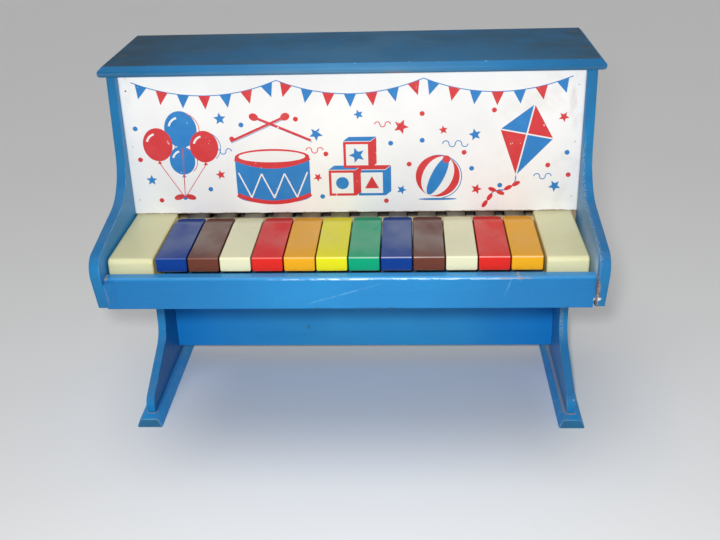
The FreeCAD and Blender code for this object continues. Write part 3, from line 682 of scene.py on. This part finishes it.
def painted_fillet(material):
    """Paint and filler that round off the corner between the left arm and the slip."""
    low = SLIP_LOW
    wide, top, foot = 7.0, SLIP_HIGH.z - 2.4, low.z + 4.8
    mesh = block((low.x, low.y, foot), (low.x + wide, low.y + 2.0, top))
    # how far the front stands back, at the arm and on the slip
    for level, at_arm, on_slip in ((top, -4.9, 0.95), (foot, -0.1, 0.15)):
        for vert in mesh.verts:
            if vert.co.y < low.y + TOUCH and abs(vert.co.z - level) < TOUCH:
                vert.co.y += at_arm if vert.co.x < low.x + TOUCH else on_slip
    settle(mesh, "left_joint_fillet", material, smooth=False)


joint_filler()
painted_fillet(slip_blue)


# white panel and its two-colour print


PANEL_LOW, PANEL_HIGH = limits("front_panel")


def panel_white():
    f = Finish("panel_white")
    low, high = PANEL_LOW, PANEL_HIGH
    pulp = f.noise(1.4, 3, 0.6, shift=1)
    cloud = f.noise(55, 3, shift=7)
    f.colour = f.mix((240, 240, 240), WHITE, cloud.rise(0.3, 0.65))
    f.coat((226, 223, 216), pulp.rise(0.58, 0.74) * 0.3)
    # rub marks towards the right end and in the corners
    smudge = f.noise(13, 5, 0.68, stretch=(1, 1, 2.4), shift=17)
    right = f.x.rise(high.x - 24.6, high.x - 2.6) * f.z.rise(low.z + 40, high.z - 6)
    f.coat((170, 150, 128), right * smudge.rise(0.5, 0.72) * 0.5)
    haze = f.noise(32, 4, 0.6, shift=27)
    f.coat((205, 200, 190), f.x.rise(60, high.x - 4.6) * haze.rise(0.5, 0.75) * 0.4)
    corner = f.x.rise(low.x + 11.6, low.x + 2.6) * f.z.rise(high.z - 26, high.z - 8)
    f.coat((176, 164, 146), corner * smudge.rise(0.45, 0.7) * 0.6)
    seam = f.z.rise(high.z - 1.6, high.z - 0.4).most(abs(f.x).rise(high.x - 1.2, high.x - 0.2))
    f.coat((150, 140, 132), seam * 0.5)
    # chipped lower edge, down to the brown board
    chips = f.noise(5, 4, 0.7, stretch=(2, 1, 1), shift=5)
    lower = f.z + chips * 3.4 - 1.7
    bare = lower.rise(low.z + 0.85, low.z + 0.45)
    f.coat((150, 122, 92), bare * 0.85)
    rough = 0.5 + 0.15 * pulp
    return f.done(rough, pulp, 0.04)


dress("front_panel", panel_white(), 0.25, 2)


def ink(name, full, thin):
    f = Finish(name)
    cloud = f.noise(18, 4, 0.6, shift=3)
    f.colour = f.mix(full, thin, cloud.rise(0.4, 0.75) * 0.5)
    holes = f.noise(2.2, 3, 0.6, shift=13) * 0.6 + f.noise(7, 3, shift=23) * 0.4
    f.coat(WHITE, holes.rise(0.655, 0.68))
    return f.done(0.5 + 0.1 * cloud)


class Sheet:
    """Flat shapes of one ink; places are across from the panel's middle and up from its foot."""

    def __init__(self):
        self.mesh = bmesh.new()
        self.shapes = 0

    def lift(self):
        """A hair's difference in height, so that neighbours in one ink don't share a plane."""
        self.shapes += 1
        return -0.004 * (self.shapes % 6)

    def oval(self, across, up, wide, tall=None, turn=0.0, sides=40):
        size = Matrix.Diagonal((wide, tall or wide, 1, 1))
        lie = Matrix.Rotation(math.radians(90), 4, "X")
        spot = Matrix.Translation((across, self.lift(), up))
        place = spot @ lie @ Matrix.Rotation(turn, 4, "Z") @ size
        made = bmesh.ops.create_circle(self.mesh, cap_ends=True, segments=sides, radius=1, matrix=place)
        return made["verts"]

    def star(self, across, up, radius, turn=0.0, points=5, waist=0.45):
        verts = self.oval(across, up, radius, turn=turn, sides=2 * points)
        middle = Matrix.Translation((-across, 0, -up))
        bmesh.ops.scale(self.mesh, vec=(waist, 1, waist), space=middle, verts=verts[::2])

    def patch(self, *points):
        lift = self.lift()
        verts = [self.mesh.verts.new((across, lift, up)) for across, up in points]
        bmesh.ops.contextual_create(self.mesh, geom=verts)

    def square(self, across, up, half):
        corners = ((-half, -half), (half, -half), (half, half), (-half, half))
        self.patch(*[(across + aside, up + above) for aside, above in corners])

    def bar(self, start, end, width):
        first, last = Vector(start), Vector(end)
        aside = (last - first).orthogonal().normalized() * width / 2
        self.patch(first - aside, last - aside, last + aside, first + aside)

    def arc(self, across, up, radius, width, start, sweep):
        """Band along a circle, from a start angle, in degrees."""
        angle = math.radians(start)
        out = Vector((math.cos(angle), 0, math.sin(angle)))
        middle = Vector((across, self.lift(), up))
        verts = [self.mesh.verts.new(middle + out * (radius + side * width / 2)) for side in (-1, 1)]
        edge = self.mesh.edges.new(verts)
        bmesh.ops.spin(
            self.mesh, geom=[*verts, edge], cent=middle, axis=(0, -1, 0), angle=math.radians(sweep),
            steps=max(12, int(abs(sweep) / 5)), use_merge=False)

    def streamer(self, across, up, radius, turns, width=0.7):
        """A wavy ribbon: half circles that bend one way and the other."""
        for turn in range(turns):
            sweep = 180 if turn % 2 else -180
            self.arc(across + turn * 2 * radius, up, radius, width, 180, sweep)

    def lay(self, name, material, front):
        """Lay the shapes on the panel as a film that stands proud of it, with its back in the board."""
        mesh, rooted = self.mesh, 0.1
        bmesh.ops.translate(mesh, vec=(0, PANEL_LOW.y - front, PANEL_LOW.z), verts=mesh.verts)
        made = bmesh.ops.extrude_face_region(mesh, geom=mesh.faces[:])
        back = [item for item in made["geom"] if isinstance(item, bmesh.types.BMVert)]
        bmesh.ops.translate(mesh, vec=(0, front + rooted, 0), verts=back)
        bmesh.ops.recalc_face_normals(mesh, faces=mesh.faces)
        settle(mesh, name, material, smooth=False)


def bunting(inks):
    sag, span, hang, flag_width, flag_length = 11.0, 110.0, 106.5, 9.2, 10.5
    swags, flags, spread = 3, 7, 0.86
    radius = (span * span / 4 + sag * sag) / (2 * sag)
    half = math.degrees(math.asin(span / 2 / radius))
    for swag in range(swags):
        middle = Vector(((swag - (swags - 1) / 2) * span, hang - sag + radius))
        inks[0].arc(*middle, radius, 0.7, 270 - half, 2 * half)
        for flag in range(flags):
            turn = math.radians(270 + half * spread * (2 * flag / (flags - 1) - 1))
            top = middle + radius * Vector((math.cos(turn), math.sin(turn)))
            lean = (turn - math.radians(270)) * 0.9
            down = Vector((math.sin(lean), -math.cos(lean)))
            side = Vector((math.cos(lean), math.sin(lean))) * flag_width / 2
            inks[(flag + swag) % 2].patch(top - side, top + down * flag_length, top + side)


def balloons(inks, white):
    knot, string, taller = Vector((-133, 13.5)), 0.55, 1.16
    inks[1].bar((-131, 54.5), knot, string)
    bunch = ((-131, 69.5, 12.5, 0), (-132, 44.5, 10.0, 0), (-150, 57.5, 11.5, 1), (-114, 55.5, 11.0, 1))
    for x, z, size, tint in bunch:
        sheet = inks[tint]
        tip = z - size * taller
        inks[1].bar((x, tip - 2), knot, string)
        sheet.oval(x, z, size, size * taller)
        sheet.patch((x - 1.7, tip - 2.2), (x + 1.7, tip - 2.2), (x, tip + 0.6))
        white.arc(x, z + 0.5, size * 0.72, 1.6, 105, 60)
        inks[1 - tint].arc(x + 0.7, z - 0.5, size * 1.1, string, -50, 120)
    for side in (-1, 1):
        inks[1].oval(knot.x + side * 4.6, knot.y + 0.6, 4.2, 2.2, -side * 0.3)
    inks[0].oval(knot.x, knot.y, 1.8)


def drum(inks, white):
    blue, red = inks
    x, wide, low, high, hoop_drop = -62, 29.0, 14.5, 46.5, 60
    bend, half = math.hypot(wide, hoop_drop), math.degrees(math.atan2(wide, hoop_drop))
    blue.patch((x - wide, low), (x + wide, low), (x + wide, high), (x - wide, high))
    blue.oval(x, low, wide, 6.5)
    red.oval(x, high, wide, 6.5)
    white.oval(x, high + 0.4, wide - 3, 4.6)
    for level in (low + 1.0, high - 1.0):
        red.arc(x, level + hoop_drop, bend, 3.4, 270 - half, 2 * half)
    run = (2 * wide - 4) / 6
    for step in range(6):
        first = x - wide + 2 + step * run
        levels = (-10.44, 9.72) if step % 2 else (9.72, -10.44)
        mid = (low + high) / 2 - 4.5
        spots = [(first + part * run, mid + level) for part, level in enumerate(levels)]
        white.bar(*[(a, b - 3.0 * math.cos((a - x) / wide)) for a, b in spots], 1.1)
    for side in (-1, 1):
        start, end = Vector((x + side * 31, 59.5)), Vector((x - side * 12, 78.5))
        red.bar(start, end, 1.9)
        red.oval(*end, 3.6, 2.9, -side * 0.4)
        blue.bar(start + Vector((0.8, -1.3)), end + Vector((0.8, -1.3)), 0.5)


def toy_blocks(inks, white, marks):
    half, border, deep = 10.5, 2.0, 15
    for x, z, tint, mark in ((-8, 24.5, 1, "disc"), (15, 24.5, 0, "peak"), (4, 47.5, 1, "star")):
        sheet, other = inks[tint], inks[1 - tint]
        sheet.square(x, z, half)
        white.square(x, z, half - border)
        sheet.patch((x + half, z - half), (x + deep, z - 7), (x + deep, z + 14), (x + half, z + half))
        other.patch((x - half, z + 11), (x + half, z + 11), (x + deep, z + 14.4), (x - 6, z + 14.4))
        ink = marks[1 - tint]
        if mark == "disc":
            ink.oval(x, z, 5)
        elif mark == "star":
            ink.star(x, z - 0.3, 6.4, turn=-0.31)
        else:
            ink.patch((x - 5.5, z - 4.5), (x + 5.5, z - 4.5), (x, z + 5.5))


def striped_ball(inks, white, marks):
    x, z, size, turn = 66, 29.5, 17, -0.45
    inks[1].oval(x, z, size)
    white.oval(x, z, 11.5, size - 0.1, turn)
    marks[0].oval(x, z, 5.0, size - 0.3, turn)
    tip = Vector((-math.sin(turn), math.cos(turn))) * 15.2
    marks[1].oval(x + tip.x, z + tip.y, 3.0)
    inks[0].arc(x + 0.8, z - 0.6, size + 0.6, 0.7, -80, 190)
    inks[0].oval(x, z - size - 2.0, 15, 0.9)


def kite(inks, white):
    x, z, stick = 132, 58.5, 1.1
    top, left, right, foot = (x + 6, z + 27), (x - 19, z + 8), (x + 21, z), (x - 6, z - 29)
    middle = (x + 1.2, z + 4.0)
    for tint, first, second in ((0, top, left), (1, left, foot), (0, foot, right), (1, right, top)):
        inks[tint].patch(middle, first, second)
    white.bar(top, foot, stick)
    white.bar(left, right, stick)
    for centre, start, sweep in (((x - 16, z - 31), 10, -115), ((x - 17.5, z - 51), 77, 98)):
        inks[0].arc(*centre, 10, 0.8, start, sweep)
    bows = ((x - 8.6, z - 37.5, 0.5), (x - 20.5, z - 41.8, -0.4), (x - 27.4, z - 49.5, 1.0))
    for bow_x, bow_z, turn in bows:
        for side in (-1, 1):
            out = Vector((math.cos(turn), math.sin(turn))) * 3.4 * side
            inks[1].oval(bow_x + out.x, bow_z + out.y, 3.4, 1.7, turn)


def confetti(inks):
    stars = (
        (-158, 28.5, 4.5, 0), (-103, 32.5, 4, 1), (-100, 77.5, 5, 0), (-27, 64.5, 5.5, 0),
        (-27, 29.5, 3.6, 1), (38, 69.5, 6, 1), (38, 18.5, 4, 0), (94, 62.5, 5, 0), (96, 18.5, 4.4, 1),
        (70, 66.5, 3.6, 1), (156, 20.5, 5, 0), (160, 75.5, 4.2, 1), (6, 79.5, 4, 0))
    for x, z, size, tint in stars:
        inks[tint].star(x, z, size, turn=x * 0.37)
    dots = (
        (-165, 45.5, 1), (-166, 70.5, 0), (-112, 20.5, 0), (-92, 61.5, 1), (-84, 72.5, 0),
        (-42, 76.5, 1), (-20, 48.5, 1), (30, 56.5, 0), (54, 58.5, 0), (54, 79.5, 1), (86, 48.5, 1),
        (44, 39.5, 1), (92, 35.5, 0), (108, 81.5, 1), (150, 37.5, 1), (164, 47.5, 0), (166, 29.5, 1),
        (114, 21.5, 0), (-152, 11.5, 1), (26, 9.5, 1), (-24, 13.5, 0))
    for x, z, tint in dots:
        inks[tint].oval(x, z, 1.9, sides=20)
    ribbons = (
        (-104, 51.5, 2.2, 3, 0), (-33, 51.5, 2.2, 3, 1), (72, 55.5, 2.4, 4, 0), (20, 71.5, 2.0, 3, 1),
        (142, 28.5, 2.2, 3, 0))
    for x, z, radius, turns, tint in ribbons:
        inks[tint].streamer(x, z, radius, turns)


def panel_print():
    """Toys and bunting in two inks, with white laid over them and a few marks on the white."""
    inks, white, marks = (Sheet(), Sheet()), Sheet(), (Sheet(), Sheet())
    bunting(inks)
    balloons(inks, white)
    drum(inks, white)
    toy_blocks(inks, white, marks)
    striped_ball(inks, white, marks)
    kite(inks, white)
    confetti(inks)
    blue = ink("ink_blue", (30, 124, 196), (52, 142, 208))
    red = ink("ink_red", (212, 46, 52), (220, 78, 78))
    inks[0].lay("print_blue", blue, 0.04)
    inks[1].lay("print_red", red, 0.08)
    white.lay("print_white", ink("ink_white", (238, 238, 237), WHITE), 0.12)
    marks[0].lay("marks_blue", blue, 0.16)
    marks[1].lay("marks_red", red, 0.2)


panel_print()


# keys and end blocks


CAP_LENGTH = 79.9


def key_plastic(name, base, shade, dust_and_sheen):
    """Glossy moulded plastic, hazy on top with dust and painted sheen, with painted shade on its tops,
    rear slope and flanks, and dull along the tail.
    """
    f = Finish(name, Specular_IOR_Level=0.05)
    front, crown = limits("key_01")[0].y, limits("key_01")[1].z
    rear = front + CAP_LENGTH
    cap = f.y.rise(rear + 1.8, rear + 0.2)
    top = f.nz.rise(0.8, 0.985) * cap
    # haze of dust and painted sheen with wiped patches, none on the slope at the back of the cap
    cloud = f.noise(38, 2, 0.5, stretch=(0.7, 1, 1), shift=3, turn=(0, 0, 24))
    wipe = f.noise(19, 2.5, 0.55, stretch=(1, 2.0, 1), shift=13, turn=(0, 0, -18))
    film = (cloud * 0.6 + wipe * 0.4).rise(0.24, 0.76)
    slope = f.y.rise(rear - 14.6, rear - 6.6)
    thin = 0.35 + 0.65 * f.y.rise(front - 1.7, front + 32.3)
    haze = top * (0.06 + 0.44 * film) * thin * (1 - slope) * dust_and_sheen
    # painted shade: the tops a little darker, the slope at the back of the cap and the flanks darker
    # still
    f.colour = f.mix(base, shade, top * 0.14)
    f.coat((172, 179, 172), haze)
    f.coat(shade, top * slope * 0.35)
    flank = abs(f.nx).rise(0.5, 0.95)
    f.coat(shade, flank * 0.5)
    # painted highlight along the front edge, brighter towards the right; grubby lower edge with a line of
    # dust
    brow = f.nz.near(0.6, 0.15, 0.4) * f.ny.rise(-0.4, -0.7)
    lit = 0.3 + 0.7 * f.x.rise(-130, 30)
    f.coat((246, 244, 238), brow * (0.12 + 0.34 * wipe) * lit)
    face = f.ny.rise(-0.6, -0.95)
    grubby = f.noise(3.4, 3, 0.6, shift=19)
    soiled = f.z.rise(crown - 8.5, crown - 10.3) * face * grubby.rise(0.42, 0.66)
    f.coat(shade, soiled * 0.3)
    line = f.z.near(crown - 10.6, 0.2, 0.6) * f.ny.rise(-0.2, -0.6)
    f.coat((186, 172, 152), line * (0.05 + 0.16 * grubby.rise(0.35, 0.6)))
    # dull dusty tail
    dull = f.mix(base, (194, 186, 170), 0.66 + 0.25 * cloud)
    f.colour = f.mix(dull, f.colour, cap)
    speck = f.noise(1.1, 2, shift=29).rise(0.77, 0.8) * top
    f.coat((214, 210, 202), speck * 0.5)
    rough = 0.17 + haze * 0.7 + slope * top * 0.35 + (1 - cap) * 0.4 + 0.05 * cloud
    return f.done(rough, cloud, 0.03)


PLASTICS = {
    "key_blue": ((15, 60, 140), (8, 26, 76), 0.72),
    "key_brown": ((108, 60, 48), (56, 32, 26), 0.9),
    "key_cream": ((228, 226, 190), (182, 174, 132), 0.4),
    "key_red": ((222, 44, 38), (120, 22, 20), 0.56),
    "key_orange": ((236, 170, 34), (150, 92, 20), 0.38),
    "key_yellow": ((228, 222, 34), (166, 148, 24), 0.42),
    "key_green": ((14, 162, 116), (6, 84, 60), 0.85),
}


def key_piece(name):
    """A key whose hollow cap has rounded outer edges, rounder at its two lower front corners."""
    low, high = limits(name)
    lower_round, outer_round = 1.3, 0.7
    mesh = copy_of(name)
    sill = min(vert.co.z for vert in mesh.verts if vert.co.y < low.y + TOUCH)
    upper = sill + 7
    rear = max(vert.co.y for vert in mesh.verts if vert.co.z > upper)

    def level(spot):
        return abs(spot.z - sill) < TOUCH

    def ahead(spot):
        return spot.y < low.y + TOUCH

    def beside(spot):
        return min(spot.x - low.x, high.x - spot.x) < TOUCH

    def behind(spot):
        return spot.z > upper and spot.y > rear - 8

    # the rim of the underside is cut in the middle, so that no seam runs to its corners
    middle = (low.x + high.x) / 2
    rim = [face for face in mesh.faces if all(level(vert.co) for vert in face.verts)]
    parts = dict.fromkeys(part for face in rim for part in (face, *face.edges, *face.verts))
    bmesh.ops.bisect_plane(mesh, geom=list(parts), plane_co=(middle, 0, 0), plane_no=(1, 0, 0))
    seams = [edge for edge in edges_where(mesh, level) if edge.calc_face_angle(0) < 0.01]
    stray = [edge for edge in seams if any(abs(vert.co.x - middle) > TOUCH for vert in edge.verts)]
    bmesh.ops.dissolve_edges(mesh, edges=stray, use_verts=False)
    lower = edges_where(mesh, lambda spot: level(spot) and beside(spot))
    ease(mesh, lower, lower_round, 5, clamp=False)
    outer = [edge for edge in sharp_edges(mesh)
             if all(ahead(vert.co) or beside(vert.co) or behind(vert.co) for vert in edge.verts)]
    ease(mesh, outer, outer_round, 3, clamp=False)
    show_for(name, mesh, plastics[slot_of[name]])


plastics = {name: key_plastic(name, *tints) for name, tints in PLASTICS.items()}
for k in range(KEYS):
    key_piece(f"key_{k + 1:02d}")


def cream_paint():
    f = Finish("cream_paint")
    back = limits("left_end_block")[1].y
    cloud = f.noise(40, 4, shift=2)
    f.colour = f.mix((211, 207, 158), (218, 215, 172), cloud.rise(0.3, 0.7))
    top = f.nz.rise(0.8, 0.98)
    f.coat((204, 200, 152), top * (0.2 + 0.3 * f.noise(16, 4, 0.6, shift=8)))
    # flanks painted paler, as painted light in the narrow gaps beside the keys
    flank = abs(f.nx).rise(0.6, 0.95)
    f.coat((238, 226, 156), flank * 0.9)
    spot = f.noise(2.6, 3, 0.6, shift=15).rise(0.7, 0.76) * top
    f.coat((150, 138, 96), spot * 0.5)
    rear = f.y.rise(back - 13.4, back - 2.4) * top
    f.coat((168, 162, 132), rear * 0.5)
    return f.done(0.3 + 0.14 * cloud, f.noise(30, 3, shift=40), 0.15)


cream = cream_paint()
dress("left_end_block", cream, 1.8, 6)
dress("right_end_block", cream, 1.8, 6)


# inside and back


def bare_wood(name, pale, dark, grain):
    f = Finish(name)
    rings = f.noise(7, 4, 0.6, stretch=grain, shift=4)
    fibre = f.noise(1.1, 4, 0.65, stretch=grain, shift=14)
    f.colour = f.mix(pale, dark, (rings * 0.6 + fibre * 0.4).rise(0.35, 0.68))
    return f.done(0.68 + 0.15 * fibre, fibre, 0.12)


def hardboard():
    f = Finish("hardboard")
    fibre = f.noise(2.4, 5, 0.7, shift=2)
    cloud = f.noise(60, 3, shift=9)
    tone = (fibre * 0.5 + cloud * 0.5).rise(0.35, 0.65)
    f.colour = f.mix((112, 78, 50), (142, 104, 70), tone)
    weave = (f.x * 2.6).sine() * (f.z * 2.6).sine()
    return f.done(0.75 + 0.1 * fibre, weave * 0.5 + fibre, 0.18)


def felt():
    f = Finish("felt", Sheen_Weight=0.4, Sheen_Roughness=0.6)
    fuzz = f.noise(0.8, 4, 0.75, shift=1)
    f.colour = f.mix((52, 48, 46), (78, 72, 68), fuzz.rise(0.3, 0.7))
    return f.done(0.92 + 0.05 * fuzz, fuzz, 0.4)


def steel(name, tone, grain):
    f = Finish(name, Metallic=1.0)
    lines = f.noise(0.7, 3, 0.6, stretch=grain, shift=1)
    spots = f.noise(5, 4, 0.65, shift=11)
    f.colour = f.mix(tone, (128, 118, 106), spots.rise(0.58, 0.75) * 0.5)
    return f.done(0.28 + 0.2 * lines, lines, 0.02)


def hammer_plastic():
    f = Finish("hammer_plastic")
    cloud = f.noise(8, 3, shift=1)
    f.colour = f.mix((214, 210, 196), (232, 229, 218), cloud.rise(0.3, 0.7))
    return f.done(0.4 + 0.1 * cloud, cloud, 0.05)


def guide_strip():
    f = Finish("guide_strip")
    cloud = f.noise(3, 3, shift=1)
    f.colour = f.mix((206, 202, 188), (228, 226, 216), cloud.rise(0.3, 0.7))
    return f.done(0.4 + 0.15 * cloud)


along, upright = (12, 1, 1), (1, 1, 12)
pine = (206, 184, 150), (172, 142, 104)
pale_wood = bare_wood("pale_wood", *pine, along)
for name in ("guide_rail", "stop_rail", "rest_rail", "hammer_rail", "lower_bar_rail", "upper_bar_rail"):
    finish_node(name, pale_wood)
comb_wood = bare_wood("comb_wood", (230, 220, 188), (206, 190, 150), along)
finish_node("balance_rail", comb_wood)
cleat_wood = bare_wood("cleat_wood", *pine, upright)
for name in ("left_cleat", "right_cleat"):
    finish_node(name, cleat_wood)
grey_felt = felt()
for name in ("stop_felt", "rest_felt", "lower_bar_felt", "upper_bar_felt"):
    finish_node(name, grey_felt)
wire = steel("drawn_wire", (196, 196, 198), along)
for name in ("pivot_rod", "hammer_rod", "bar_screws", "foot_screws"):
    finish_node(name, wire)
finish_node("tone_bars", steel("ground_steel", (200, 202, 206), (1, 1, 16)))
finish_node("guide_blades", guide_strip())
dress("back_panel", hardboard(), 0.3, 2)
white_hammer = hammer_plastic()
for k in range(KEYS):
    finish_node(f"hammer_{k + 1:02d}", white_hammer)


# studio


def floor():
    reach = 6  # metres
    mesh = bmesh.new()
    bmesh.ops.create_grid(mesh, x_segments=1, y_segments=1, size=reach)
    data = bpy.data.meshes.new("floor")
    mesh.to_mesh(data)
    mesh.free()
    f = Finish("pale_floor")
    cloud = f.noise(400, 3)
    f.colour = f.mix((238.6, 238.6, 237.4), (243.4, 243.4, 242.2), cloud)
    data.materials.append(f.done(0.85 + 0.1 * cloud))
    piece = bpy.data.objects.new("floor", data)
    bpy.context.scene.collection.objects.link(piece)


def link_light(name, kind, turn, place=(0, 0, 0), **settings):
    light = bpy.data.lights.new(name, kind)
    for setting, value in settings.items():
        setattr(light, setting, value)
    piece = bpy.data.objects.new(name, light)
    turned = Vector(turn).to_track_quat("Z", "Y").to_matrix().to_4x4()
    piece.matrix_world = Matrix.Translation(place) @ turned
    bpy.context.scene.collection.objects.link(piece)


def lights():
    """A lamp by the camera, soft light from above and an even surround."""
    spot, aim = Vector((0.02, -0.72, 0.51)), Vector((0, 0, 0.17))
    link_light("lamp", "AREA", spot - aim, spot, shape="DISK", size=0.045, energy=4.0)
    link_light("overhead", "SUN", (-0.1, -0.22, 1), angle=math.radians(40), energy=0.95)
    world = bpy.data.worlds.new("surround")
    world.use_nodes = True
    tree = Nodes(world.node_tree)
    outs = tree.node("ShaderNodeLightPath").socket.node.outputs
    rays = ("Is Camera Ray", "Is Glossy Ray", "Is Transmission Ray")
    straight, mirrored, through = (Value(tree, outs[ray]) for ray in rays)
    sky = world.node_tree.nodes["Background"]
    tree.feed(sky.inputs["Color"], (251.6, 252.7, 255))
    tree.feed(sky.inputs["Strength"], 0.18 + 0.38 * straight.most(mirrored).most(through))
    bpy.context.scene.world = world


def camera():
    """The photograph's point of view."""
    place = (0.0447668, -0.7168076, 0.4759232)
    pitch, yaw, roll = (math.radians(angle) for angle in (25.5953, -3.3052, -1.7483))
    focal, picture_width, sensor = 974.5877, 720, 36  # pixels, pixels, millimetres
    ahead = Vector((math.sin(yaw) * math.cos(pitch), math.cos(yaw) * math.cos(pitch), -math.sin(pitch)))
    right = Vector((math.cos(yaw), -math.sin(yaw), 0))
    up = right.cross(ahead)
    side = right * math.cos(roll) + up * math.sin(roll)
    head = up * math.cos(roll) - right * math.sin(roll)
    lens = bpy.data.cameras.new("camera")
    lens.sensor_width = sensor
    lens.lens = focal * sensor / picture_width
    lens.clip_start = 0.01
    piece = bpy.data.objects.new("camera", lens)
    turn = Matrix((side, head, -ahead)).transposed().to_4x4()
    piece.matrix_world = Matrix.Translation(place) @ turn
    bpy.context.scene.collection.objects.link(piece)
    bpy.context.scene.camera = piece


floor()
lights()
camera()
bpy.context.scene.view_settings.view_transform = "Standard"
